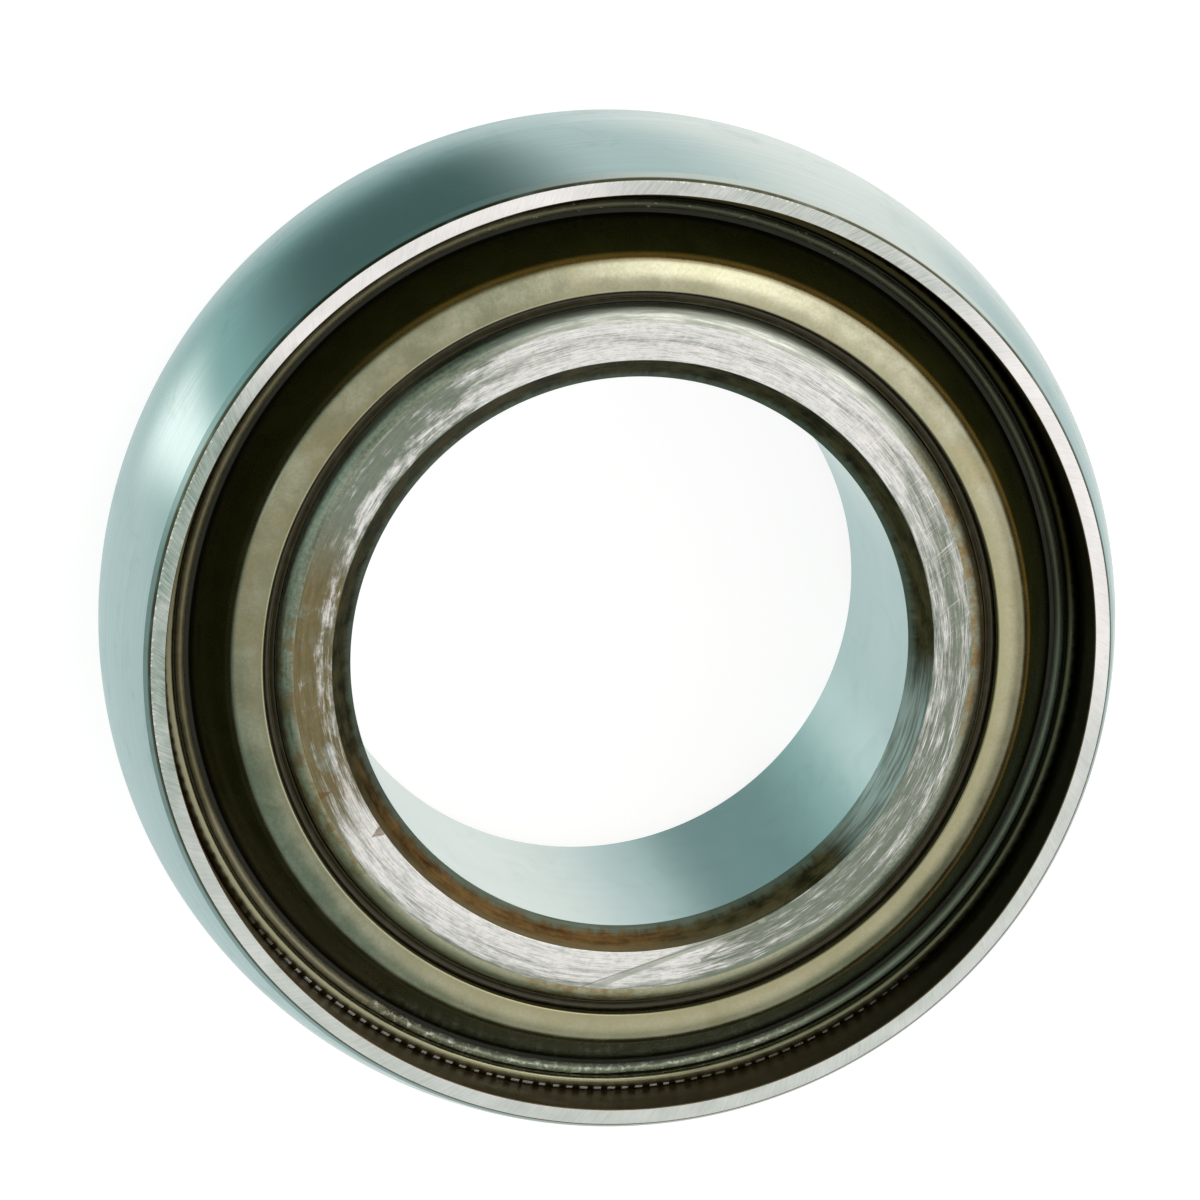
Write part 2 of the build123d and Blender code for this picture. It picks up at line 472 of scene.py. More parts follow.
def outer_bevel():
    """The turned edge beside the outer face, with a dark oily line where the two meet."""
    m = Surface("turned_outer_bevel")
    turns = m.noise(m.round_place(2, 20000, 20000), 1.0, 2.0)
    stain = m.noise(m.round_place(12, 500, 500, 4.0), 1.0, 4.0)
    colour = m.mix(turns, srgb(150, 168, 165), srgb(190, 204, 200))
    colour = m.mix(m.span(stain, 0.5, 0.7, 0.0, 0.4), colour, srgb(130, 128, 106))
    colour = m.mix(m.times(m.beside(60, 50, 80), 0.8), colour, srgb(222, 228, 224))
    colour = m.mix(m.times(m.beside(-75, 28, 55), 0.7), colour, srgb(132, 138, 130))
    rim = m.span(m.height, HALF_WIDTH - 0.46 * MM, HALF_WIDTH - 0.24 * MM)
    colour = m.mix(m.times(rim, m.span(stain, 0.3, 0.5, 0.75, 1.0)), colour, srgb(88, 86, 60))
    return m.finish(colour, 0.3, m.bump(turns, 0.1, 0.0001))


def outer_face():
    """A narrow ground face: pale, with fine slanting marks, duller in three places, and nicked at its rim."""
    m = Surface("ground_outer_face")
    marks = m.noise(m.slanted_place(300, 620, 17.0, RECESS_RADIUS), 1.0, 4.0, 0.65, 0.6)
    fine = m.noise(m.slanted_place(700, 500, 20.0, RECESS_RADIUS, 8.0), 1.0, 3.0, 0.7)
    broad = m.noise(m.round_place(6, 400, 0, 5.0), 1.0, 4.0, 0.6)
    stain = m.noise(m.round_place(12, 900, 0, 1.0), 1.0, 5.0, 0.65)
    left = m.beside(168, 14, 34)
    upper_right = m.times(m.beside(68, 16, 32), 0.6)
    worn = m.times(m.most(left, upper_right), m.span(broad, 0.25, 0.6, 0.6, 1.0))
    lower = m.times(m.beside(-95, 70, 100), m.span(broad, 0.3, 0.7, 0.8, 1.0))
    ground = m.mix(m.span(marks, 0.3, 0.6), srgb(239, 238, 240), srgb(251, 249, 252))
    dull = m.mix(m.span(marks, 0.34, 0.66), srgb(134, 154, 146), srgb(184, 198, 192))
    greyed = m.mix(m.span(marks, 0.3, 0.7), srgb(194, 203, 200), srgb(212, 219, 217))
    colour = m.mix(worn, m.mix(lower, ground, greyed), dull)
    colour = m.mix(m.span(fine, 0.52, 0.72, 0.0, 0.25), colour, srgb(196, 202, 200))
    colour = m.mix(m.span(stain, 0.64, 0.78, 0.0, 0.4), colour, srgb(150, 140, 122))
    nicks = m.noise(m.round_place(150, 1500, 0, 6.0), 1.0, 2.0)
    rim = m.span(m.radius, FACE_RIM - 0.3 * MM, FACE_RIM - 0.1 * MM)
    nicked = m.times(rim, m.span(nicks, 0.54, 0.62), m.most(m.beside(85, 14, 24), m.times(left, 0.7)))
    colour = m.mix(nicked, colour, srgb(253, 253, 253))
    rough = m.span(broad, 0.3, 0.7, 0.26, 0.4)
    return m.finish(colour, rough, m.bump(fine, 0.05, 0.0001, m.bump(marks, 0.03, 0.0002)))


def recess_lip():
    """The broken edge between the face and the recess, brown with old oil."""
    m = Surface("recess_edge_break")
    stain = m.noise(m.round_place(14, 500, 500), 1.0, 4.0)
    colour = m.mix(stain, srgb(110, 78, 48), srgb(176, 150, 120))
    return m.finish(colour, 0.55)


def recess_wall():
    """The turned wall and floor of the recess: very dark, and brown along the bottom."""
    m = Surface("dark_recess_wall")
    stain = m.noise(m.round_place(10, 300, 400), 1.0, 5.0)
    turns = m.noise(m.round_place(4, 3000, 3000, 5.0), 1.0, 3.0)
    brown_side = m.beside(-110, 30, 70)
    colour = m.mix(stain, srgb(26, 25, 9), srgb(60, 56, 28))
    colour = m.mix(m.times(brown_side, 0.8), colour, m.mix(stain, srgb(58, 44, 18), srgb(118, 94, 56)))
    colour = m.mix(m.times(turns, 0.4), colour, srgb(26, 24, 12))
    rough = m.span(stain, 0.3, 0.7, 0.26, 0.44)
    return m.finish(colour, rough, m.bump(turns, 0.1, 0.0001), metallic=0.6)


# ---------------------------------------------------------------- inner ring

CHAMFER_RADIAL = 1.9 * MM
CORNER_RADIUS = 1.5 * MM
INNER_GROOVE = 0.515 * BALL_DIAMETER
INNER_GROOVE_CENTRE = PITCH_RADIUS - BALL_DIAMETER / 2 - RACE_CLEARANCE + INNER_GROOVE
OUTER_ROW = 29.35 * MM
INNER_ROW = 27.2 * MM


def make_inner_ring(materials):
    """The inner ring: bore, chamfer, face, rounded corner, land and raceway."""
    groove_half = sqrt(INNER_GROOVE**2 - (INNER_GROOVE_CENTRE - LAND_RADIUS) ** 2)
    groove_end = degrees(asin(groove_half / INNER_GROOVE))
    straight = BORE_LENGTH / 2
    half = [
        (BORE_RADIUS, 0.3 * MM, 0, "bore"),
        (BORE_RADIUS, straight, 0.15 * MM, "chamfer"),
        (BORE_RADIUS + CHAMFER_RADIAL, HALF_WIDTH, 0.12 * MM, "face"),
        (LAND_RADIUS - CORNER_RADIUS, HALF_WIDTH, 0, "face"),
    ]
    corner = arc((LAND_RADIUS - CORNER_RADIUS, HALF_WIDTH - CORNER_RADIUS), CORNER_RADIUS, 86, 0, 12)
    half += run(corner[:-1], "corner")
    half += run(corner[-1:], "land")
    half += run(arc((INNER_GROOVE_CENTRE, 0), INNER_GROOVE, 180 - groove_end, 178, 12), "race")
    points, zones = outline(both_ends(half, "bore"))
    piece = lathe("inner_ring_body", points, zones, materials)
    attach(piece, INNER_BODY)
    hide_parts("inner_ring")


def inner_face():
    """Ground steel with two bright rows and a dull one between, brown on one side, rubbed and scratched."""
    m = Surface("ground_inner_face")
    streaks = m.noise(m.round_place(6, 2600, 0), 1.0, 6.0, 0.72)
    hair = m.noise(m.round_place(14, 12000, 0, 6.0), 1.0, 4.0, 0.65)
    patch = m.noise(m.slanted_place(10, 900, 9.0, 28 * MM, 4.0), 1.0, 6.0, 0.65, 0.2)
    blotch = m.noise(m.round_place(9, 600, 0, 9.0), 1.0, 6.0, 0.7, 0.4)
    grain = m.noise(m.place, 2000.0, 4.0, 0.7)

    # how brightly each place is rubbed
    outer_row = m.row(OUTER_ROW, 0.1 * MM, 0.8 * MM)
    inner_row = m.row(INNER_ROW, 0.3 * MM, 1.2 * MM)
    left = m.beside(150, 18, 44)
    rows = m.most(m.times(outer_row, m.plus(0.9, m.times(left, -0.6))), inner_row)
    right = m.beside(-32, 30, 54)
    shine = m.plus(m.beside(75, 26, 54), m.beside(-115, 28, 50))
    shine = m.plus(shine, m.times(left, -0.2), m.times(right, -0.25))
    level = m.plus(m.times(streaks, 0.5), m.times(patch, 0.25), m.times(hair, 0.25))
    level = m.plus(level, m.times(rows, 0.1), m.times(shine, 0.15), -0.015)
    worn_edge = m.times(m.span(m.radius, 28.9 * MM, 29.7 * MM), m.beside(-105, 50, 76))
    worn_chamfer = m.times(inner_row, m.beside(-46, 14, 34))
    level = m.plus(level, m.times(worn_edge, -0.17), m.times(worn_chamfer, -0.1))
    level = m.plus(level, m.times(right, m.plus(m.times(streaks, 0.4), m.times(hair, 0.6), -0.5), 0.6))
    level = m.plus(level, m.times(left, -0.01), m.times(left, m.plus(patch, -0.5), 0.7))
    level = m.plus(level, m.times(left, m.plus(rows, -0.6), 0.12))

    # bare steel, dull to bright
    dull = m.mix(m.plus(m.times(hair, 0.6), m.times(grain, 0.4)), srgb(84, 96, 82), srgb(158, 168, 156))
    fine = m.plus(m.times(hair, 0.7), m.times(grain, 0.3))
    bright = m.mix(m.span(fine, 0.32, 0.6), srgb(192, 199, 195), srgb(249, 247, 249))
    colour = m.mix(m.span(level, 0.43, 0.73), dull, bright)

    # stains
    brown = m.mix(m.plus(m.times(streaks, 0.6), m.times(grain, 0.4)), srgb(88, 78, 50), srgb(158, 146, 112))
    brown_blotch = m.span(m.plus(blotch, m.times(inner_row, -0.06)), 0.26, 0.5)
    browned = m.times(m.beside(-176, 14, 34), brown_blotch)
    off_row = m.math("SUBTRACT", 1.0, inner_row)
    copper = m.times(m.beside(16, 14, 36), m.span(streaks, 0.5, 0.66), off_row, 0.45)
    freckles = m.times(m.span(blotch, 0.6, 0.74), 0.35)
    stained = m.most(m.times(browned, m.span(level, 0.54, 0.68, 1.0, 0.3)), m.most(copper, freckles))
    colour = m.mix(stained, colour, brown)
    ragged = m.span(patch, 0.35, 0.6, 0.5, 1.0)
    wedges = m.most(m.wedge(-158, 31.2, 28.2, 0.7), m.wedge(-147, 26.5, 27.8, 0.45))
    colour = m.mix(m.times(wedges, ragged, 0.85), colour, srgb(124, 100, 68))

    # crossing rubs
    rubs = m.noise(m.straight_place(40, 420, 7200), 1.0, 3.0, 0.6, 0.5)
    cross = m.noise(m.straight_place(-28, 420, 7600, 3.0), 1.0, 3.0, 0.6, 0.5)
    rubbed_side = m.beside(52, 34, 60)
    colour = m.mix(m.times(rubbed_side, m.span(rubs, 0.56, 0.7), 0.5), colour, srgb(252, 252, 252))
    colour = m.mix(m.times(rubbed_side, m.span(cross, 0.56, 0.7), 0.3), colour, srgb(176, 184, 178))

    # one long scratch, with a smear and a branch
    smear = m.between((-98, 30.0), (-64, 26.7), 0.16 * MM, 0.2 * MM)
    branch = m.between((-78, 28.2), (-65.5, 26.7), 0.08 * MM, 0.12 * MM)
    edge = m.between((-99.5, 29.9), (-67, 26.75), 0.02 * MM, 0.08 * MM)
    colour = m.mix(m.times(smear, m.span(hair, 0.3, 0.6, 0.5, 0.85)), colour, srgb(170, 176, 164))
    colour = m.mix(m.times(m.most(branch, edge), 0.6), colour, srgb(112, 118, 102))

    rough = m.plus(m.span(streaks, 0.3, 0.7, 0.4, 0.28), m.times(stained, 0.12))
    relief = m.bump(m.plus(streaks, m.times(hair, 0.5)), 0.12, 0.0002)
    relief = m.bump(m.times(m.most(branch, edge), -1.0), 0.1, 0.0001, relief)
    return m.finish(colour, rough, relief)


def inner_corner():
    """The inner ring's rounded corner: dull, pale and streaked over one stretch, and coppery beside it."""
    m = Surface("dull_rounded_corner")
    turns = m.noise(m.round_place(5, 1500, -1500), 1.0, 5.0, 0.6)
    blotch = m.noise(m.round_place(16, 500, -500, 3.0), 1.0, 5.0, 0.7)
    grain = m.noise(m.place, 2600.0, 3.0, 0.7)
    mottle = m.plus(m.times(turns, 0.6), m.times(grain, 0.4))
    colour = m.mix(m.span(mottle, 0.25, 0.75), srgb(108, 118, 100), srgb(192, 200, 184))
    streaks = m.noise(m.round_place(7, 2600, -2600, 8.0), 1.0, 6.0, 0.72)
    pale = m.mix(m.span(streaks, 0.4, 0.62), srgb(184, 189, 180), srgb(238, 240, 234))
    # painted shade darkens the pale stretch toward its outer edge, beside the gap
    pale = m.mix(m.span(m.radius, 30.4 * MM, 31.05 * MM, 0.0, 0.65), pale, srgb(132, 138, 122))
    colour = m.mix(m.times(m.beside(76, 22, 44), m.span(blotch, 0.3, 0.5, 0.75, 1.0)), colour, pale)
    copper = m.times(m.beside(8, 8, 34), m.span(blotch, 0.4, 0.6, 0.25, 1.0))
    brown = m.times(m.most(m.beside(-164, 14, 34), m.beside(-97, 5, 16)), m.span(blotch, 0.42, 0.6))
    below = m.mix(mottle, srgb(142, 140, 108), srgb(212, 210, 180))
    colour = m.mix(m.times(m.beside(-112, 40, 66), 0.8), colour, below)
    colour = m.mix(m.most(m.times(copper, 0.85), m.times(brown, 0.7)), colour, srgb(146, 116, 66))
    rough = m.span(turns, 0.3, 0.7, 0.34, 0.5)
    return m.finish(colour, rough, m.bump(turns, 0.12, 0.0002))


def inner_land():
    """The turned land that the seal lips run on."""
    m = Surface("turned_seal_land")
    turns = m.noise(m.round_place(4, 0, 6000), 1.0, 4.0)
    colour = m.mix(turns, srgb(176, 186, 176), srgb(222, 228, 220))
    return m.finish(colour, m.span(turns, 0.3, 0.7, 0.5, 0.64), m.bump(turns, 0.15, 0.0001))


def bore_chamfer():
    """The lead-in at the bore: brown and rusty, but for a painted reflection over one pale stretch and a thin
    bare line at the bore.
    """
    m = Surface("rusted_bore_chamfer")
    rust = m.noise(m.round_place(11, 650, 650), 1.0, 4.0, 0.6, 0.2)
    grain = m.noise(m.place, 2400.0, 4.0, 0.7)
    drift = m.times(m.plus(m.noise(m.round_place(24, 0, 0, 7.0), 1.0, 5.0, 0.65), -0.5), 1.2 * MM)
    turns = m.noise(m.round_place(6, 3500, 3500, 2.0), 1.0, 3.0)
    outer_part = m.span(m.plus(m.radius, drift), BORE_RADIUS + 0.1 * MM, BORE_RADIUS + 0.8 * MM)
    bare = m.mix(turns, srgb(92, 102, 88), srgb(142, 154, 138))
    mottle = m.plus(m.times(rust, 0.6), m.times(turns, 0.25), m.times(grain, 0.15))
    brown = m.mix(m.span(mottle, 0.34, 0.66), srgb(50, 45, 24), srgb(106, 96, 64))
    strong = m.mix(m.span(mottle, 0.34, 0.66), srgb(84, 58, 26), srgb(150, 116, 70))
    brown = m.mix(m.beside(-120, 22, 48), brown, strong)
    olive = m.span(m.radius, BORE_RADIUS + 1.2 * MM, BORE_RADIUS + 1.7 * MM, 0.0, 0.6)
    brown = m.mix(m.times(olive, m.beside(-110, 30, 60)), brown, srgb(132, 122, 92))
    colour = m.mix(outer_part, bare, brown)
    # a pale stretch painted in for the reflection the chamfer shows there
    clean = m.times(m.beside(-24, 8, 24), m.span(turns, 0.36, 0.6, 0.45, 1.0))
    colour = m.mix(clean, colour, srgb(196, 210, 206))
    rough = m.span(rust, 0.3, 0.7, 0.36, 0.6)
    relief = m.bump(rust, 0.06, 0.0002, m.bump(turns, 0.08, 0.0001))
    return m.finish(colour, rough, relief, metallic=0.85)


def bore_wall():
    """The ground bore: clean, with faint smears and very fine lines round it."""
    m = Surface("ground_bore")
    lines = m.noise(m.round_place(2.5, 0, 7000, 1.0), 1.0, 3.0)
    smear = m.noise(m.round_place(8, 0, 140, 5.0), 1.0, 5.0, 0.6, 0.6)
    colour = m.mix(m.noise(m.place, 60.0, 3.0), srgb(196, 208, 206), srgb(214, 222, 220))
    colour = m.mix(m.span(smear, 0.45, 0.75, 0.0, 0.16), colour, srgb(160, 176, 170))
    rough = m.span(lines, 0.3, 0.7, 0.24, 0.27)
    return m.finish(colour, rough, Anisotropic=0.3, Anisotropic_Rotation=0.25)


def raceway():
    """A polished groove with the finest of lines along it."""
    m = Surface("polished_raceway")
    lines = m.noise(m.round_place(1.5, 0, 5000), 1.0, 2.0)
    colour = m.mix(lines, srgb(190, 194, 196), srgb(220, 222, 222))
    return m.finish(colour, m.span(lines, 0.3, 0.7, 0.1, 0.16))


# ---------------------------------------------------------------- seals


def sheet_sides(path, thickness, zone):
    """The two sides of a sheet, from the middle line of its section, as (radius, height, bend radius)."""
    sides = []
    for sign in (1, -1):
        side = []
        for i, (r, z, bend) in enumerate(path):
            here = Vector((r, z))
            ways = []
            if i > 0:
                ways.append((here - Vector(path[i - 1][:2])).normalized())
            if i < len(path) - 1:
                ways.append((Vector(path[i + 1][:2]) - here).normalized())
            across = [Vector((-w.y, w.x)) * sign for w in ways]
            if len(ways) == 2:
                step = (across[0] + across[1]) / (1 + across[0].dot(across[1]))
                turn = 1 if ways[0].cross(ways[1]) > 0 else -1
                rounding = max(bend - sign * turn * thickness / 2, 0.05 * MM)
            else:
                step = across[0]
                rounding = 0.25 * thickness
            spot = here + step * thickness / 2
            side.append((spot.x, spot.y, rounding, zone))
        sides.append(side)
    return sides


CARRIER_SHEET = 0.6 * MM
PRESS_GAP = 0.01 * MM
CARRIER_WALL = RECESS_RADIUS - PRESS_GAP - CARRIER_SHEET / 2
CARRIER_SEAT = SEAT_HEIGHT + CARRIER_SHEET / 2
CARRIER_FOOT = 37.35 * MM
CARRIER_BEND = 34.7 * MM
CARRIER_NOSE = 33.0 * MM
CARRIER_NOSE_HEIGHT = 12.1 * MM
HEM_RADIUS = 0.35 * MM
HEM_TOP = 9.2 * MM
HEM_TIP = 8.63 * MM
CRIMPS = 205
CRIMP_DEPTH = 0.12 * MM
CRIMPED_SEGMENTS = 2100

SHROUD_SHEET = 0.7 * MM
SHROUD_FLANGE = SEAT_HEIGHT + CARRIER_SHEET + SHROUD_SHEET / 2
SHROUD_RIM = 40.1 * MM
SHROUD_FOOT = 38.0 * MM
SHROUD_SHOULDER = (34.9 * MM, 13.2 * MM)
SHROUD_CROWN = (33.6 * MM, 13.8 * MM)
SHROUD_NOSE = (32.32 * MM, 14.06 * MM)
BEAD_RADIUS = 0.4 * MM
BEAD_CENTRE = 39.05 * MM
BEADED_SEGMENTS = 1440


def place_seal_piece(kind, points, zones, materials, segments=SEGMENTS, shift=None):
    """Makes one seal piece on each side of the bearing."""
    for side in ("front", "back"):
        if side == "back":
            points, zones = upside_down(points, zones)
            shift = mirrored(shift) if shift else None
        piece = lathe(f"{side}_{kind}_body", points, zones, materials, segments, shift)
        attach(piece, OUTER_BODY)
        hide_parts(f"{side}_{kind}")


def mirrored(shift):
    """The same shift, for the piece on the other side of the bearing."""

    def shift_below(r, z, angle):
        r, z = shift(r, -z, angle)
        return r, -z

    return shift_below


def make_shrouds(materials):
    """The shroud: a flange with a bead of sealant, a steep wall, a rounded shoulder and a sloping top."""
    path = [
        (SHROUD_RIM, SHROUD_FLANGE, 0),
        (SHROUD_FOOT, SHROUD_FLANGE, 0.5 * MM),
        (*SHROUD_SHOULDER, 1.0 * MM),
        (*SHROUD_CROWN, 5.0 * MM),
        (*SHROUD_NOSE, 0),
    ]
    below, above = sheet_sides(path, SHROUD_SHEET, "plating")
    flange_top = SHROUD_FLANGE + SHROUD_SHEET / 2
    bead = run(arc((BEAD_CENTRE, flange_top), BEAD_RADIUS, 0, 180, 20), "bead")
    bead_end = run([bead[-1][:2]], "plating")
    points, zones = outline(above[:1] + bead[:-1] + bead_end + above[1:] + below[::-1])
    place_seal_piece("seal_shroud", points, zones, materials, BEADED_SEGMENTS, lumpy)


def lumpy(r, z, angle):
    """Makes the bead uneven, as a run of sealant is: fuller and lumpy over one stretch, with one notch."""
    flange_top = SHROUD_FLANGE + SHROUD_SHEET / 2
    if z < flange_top + 0.01 * MM or abs(r - BEAD_CENTRE) > BEAD_RADIUS:
        return r, z
    ripple = 0.5 * sin(23 * angle) + 0.3 * sin(61 * angle + 1.3) + 0.2 * sin(157 * angle + 0.4)
    lumps = max(0.0, sin(83 * angle)) * max(0.0, sin(67 * angle + 0.6))
    lumps += 0.5 * max(0.0, sin(211 * angle))
    full = stretch(angle, -125, 33, 2)
    lumped = stretch(angle, -100, 22, 14)
    notch = stretch(angle, -124, 0.6, 1.2)
    lift = (1 + 0.08 * ripple + 0.2 * full + 0.35 * lumped * lumps) * (1 - 0.75 * notch)
    outward = (0.08 * full - 0.02 * ripple) * (r - (BEAD_CENTRE - BEAD_RADIUS)) / (2 * BEAD_RADIUS)
    return r + outward * MM, flange_top + (z - flange_top) * lift


def stretch(angle, middle, half, soft):
    """1 over a stretch of azimuth, and 0 beyond it, in degrees."""
    away = abs((degrees(angle) - middle + 180) % 360 - 180)
    return max(0.0, min(1.0, (half + soft - away) / soft))


def make_carriers(materials):
    """The carrier: a nose that holds the rubber, a seat, a wall, and a rim rolled in over the shroud."""
    tip = CARRIER_WALL - 2 * HEM_RADIUS - PRESS_GAP
    path = [
        (CARRIER_NOSE, CARRIER_NOSE_HEIGHT, 0),
        (CARRIER_BEND, CARRIER_NOSE_HEIGHT, 0.6 * MM),
        (CARRIER_FOOT, CARRIER_SEAT, 0.6 * MM),
        (CARRIER_WALL, CARRIER_SEAT, 0.4 * MM),
        (CARRIER_WALL, HEM_TOP, HEM_RADIUS),
        (tip, HEM_TOP, HEM_RADIUS),
        (tip, HEM_TIP, 0),
    ]
    left, right = sheet_sides(path, CARRIER_SHEET, "plating")
    points, zones = outline(left + right[::-1])
    place_seal_piece("seal_carrier", points, zones, materials, CRIMPED_SEGMENTS, crimped)


def crimped(r, z, angle):
    """Presses the crimping tool's small teeth into the outer edge of the rolled rim."""
    inner, outer = CARRIER_WALL - 0.2 * MM, CARRIER_WALL + CARRIER_SHEET / 2
    if z < HEM_TOP - 0.1 * MM or r < inner or r > outer:
        return r, z
    share = sin(pi * (r - inner) / (outer - inner))
    tooth = max(0.0, sin(CRIMPS * angle) - 0.25) ** 0.5
    return r, z - CRIMP_DEPTH * share * tooth


LIP_OUTSIDE = 34.0 * MM
LIP_BODY = 32.45 * MM
LIP_TOP = 12.85 * MM
LIP_CLEARANCE = 0.12 * MM
LIP_THICKNESS = 0.3 * MM
LIP_BEAD_RADIUS = 0.3 * MM
LIP_BEAD_CENTRE = (32.0 * MM, 13.15 * MM)
LIP_ROOTS = (12.1 * MM, 11.75 * MM, 11.3 * MM)
LIP_TIPS = (13.35 * MM, 11.95 * MM, 10.3 * MM)


def make_lips(materials):
    """The rubber seal: a body with a rounded bead on top, and three lips that reach for the inner ring."""
    tip = LAND_RADIUS + LIP_CLEARANCE
    body = [(LIP_OUTSIDE, LIP_ROOTS[-1]), (LIP_OUTSIDE, LIP_TOP), (LIP_BODY, LIP_TOP)]
    corners = [(r, z, 0.1 * MM, "rubber") for r, z in body]
    corners += run(arc(LIP_BEAD_CENTRE, LIP_BEAD_RADIUS, -38, 142, 12), "rubber")
    for i, (root, end) in enumerate(zip(LIP_ROOTS, LIP_TIPS)):
        if i > 0:
            corners.append((LIP_BODY, root + 2 * LIP_THICKNESS, 0.03 * MM, "rubber"))
        corners += [
            (tip, end + LIP_THICKNESS, 0.05 * MM, "rubber"),
            (tip, end, 0.05 * MM, "rubber"),
        ]
        if i < len(LIP_ROOTS) - 1:
            corners.append((LIP_BODY - 0.15 * MM, root + 0.08 * MM, 0.03 * MM, "rubber"))
    corners.append((LIP_BODY, LIP_ROOTS[-1], 0.05 * MM, "rubber"))
    points, zones = outline(corners)
    place_seal_piece("seal_lips", points, zones, materials)


FOOT_HEIGHTS = (8.8 * MM, 9.6 * MM)
SHOULDER_HEIGHTS = (12.6 * MM, 13.15 * MM)
TOP_HEIGHTS = (13.2 * MM, 13.72 * MM)
LACQUER_HEIGHTS = (12.95 * MM, 13.6 * MM)


def shroud_plating():
    """Yellow chromate on pressed steel: khaki on top, a painted amber reflection at its shoulder, and painted
    shade making it dark below.
    """
    m = Surface("yellow_chromate_plating")
    mottle = m.noise(m.place, 300.0, 5.0, 0.6, 0.3)
    clouds = m.noise(m.place, 170.0, 5.0, 0.6, 0.8)
    specks = m.noise(m.place, 800.0, 3.0, 0.6)
    fine = m.noise(m.place, 3200.0, 3.0, 0.7)

    # the top: cloudy khaki with amber flecks, and painted shade darkening it toward the opening
    top = m.mix(m.span(mottle, 0.3, 0.7), srgb(176, 175, 148), srgb(210, 208, 184))
    top = m.mix(m.span(fine, 0.3, 0.7, 0.0, 0.3), top, srgb(140, 140, 108))
    top = m.mix(m.span(clouds, 0.54, 0.72, 0.0, 0.4), top, srgb(190, 172, 118))
    flecks = m.times(m.span(specks, 0.6, 0.76), m.span(clouds, 0.42, 0.56), 0.5)
    top = m.mix(flecks, top, srgb(172, 140, 76))
    inner_edge_shade = m.times(m.span(m.radius, 32.5 * MM, 33.8 * MM, 1.0, 0.0), m.span(mottle, 0.3, 0.7, 0.3, 0.6))
    top = m.mix(inner_edge_shade, top, m.mix(mottle, srgb(122, 120, 84), srgb(162, 158, 122)))
    brownish = m.times(m.beside(160, 18, 40), m.span(clouds, 0.36, 0.62), 0.3)
    top = m.mix(brownish, top, srgb(150, 130, 84))
    deeper = m.mix(mottle, srgb(142, 138, 96), srgb(176, 171, 128))
    top = m.mix(m.times(m.beside(-50, 55, 95), 0.5), top, deeper)

    # the shoulder, with a painted amber reflection over one side and darker olive elsewhere, and the steep
    # wall below it, painted dark as shade and darker still at its foot
    amber = m.mix(clouds, srgb(138, 108, 38), srgb(188, 156, 80))
    olive = m.mix(mottle, srgb(66, 66, 38), srgb(100, 98, 64))
    shoulder = m.mix(m.beside(35, 75, 110), olive, amber)
    dark = m.mix(mottle, srgb(44, 46, 18), srgb(70, 70, 34))
    dark = m.mix(m.span(m.height, *FOOT_HEIGHTS), srgb(24, 24, 10), dark)
    colour = m.mix(m.span(m.height, *SHOULDER_HEIGHTS), dark, shoulder)
    colour = m.mix(m.span(m.height, *TOP_HEIGHTS), colour, top)

    # a thin lacquer on the top
    on_top = m.span(m.height, *LACQUER_HEIGHTS)
    m.feed(m.times(on_top, 0.8), m.shader.inputs["Coat Weight"])
    rough = m.plus(m.span(mottle, 0.3, 0.7, 0.2, 0.32), m.span(clouds, 0.5, 0.7, 0.0, 0.08))
    relief = m.bump(fine, 0.06, 0.0001, m.bump(mottle, 0.04, 0.0002))
    return m.finish(colour, rough, relief, m.plus(m.times(on_top, 0.5), 0.5), Coat_Roughness=0.2)


def bead_sealant():
    """The run of sealant on the shroud's flange: khaki, paler in places, with painted shade over one stretch
    and a painted sheen greying another, and speckled white.
    """
    m = Surface("khaki_sealant")
    grime = m.noise(m.round_place(26, 700, 700), 1.0, 5.0, 0.65)
    specks = m.noise(m.place, 1900.0, 3.0, 0.6)
    colour = m.mix(grime, srgb(84, 80, 52), srgb(148, 142, 110))
    colour = m.mix(m.beside(-78, 22, 50), colour, m.mix(grime, srgb(138, 148, 124), srgb(190, 202, 178)))
    colour = m.mix(m.beside(-142, 14, 20), colour, m.mix(grime, srgb(140, 134, 106), srgb(172, 166, 138)))
    # painted shade darkens one stretch, and a painted sheen greys another
    colour = m.mix(m.times(m.beside(30, 50, 80), 0.7), colour, srgb(66, 76, 62))
    colour = m.mix(m.times(m.beside(-32, 22, 40), 0.7), colour, srgb(118, 136, 120))
    white = m.times(m.span(specks, 0.52, 0.62), m.beside(-96, 24, 34))
    dusty = m.times(m.span(specks, 0.6, 0.7), m.beside(82, 20, 32), 0.6)
    colour = m.mix(m.most(white, dusty), colour, srgb(232, 238, 226))
    return m.finish(colour, m.span(grime, 0.3, 0.7, 0.3, 0.46), m.bump(specks, 0.2, 0.0002), metallic=0.35)


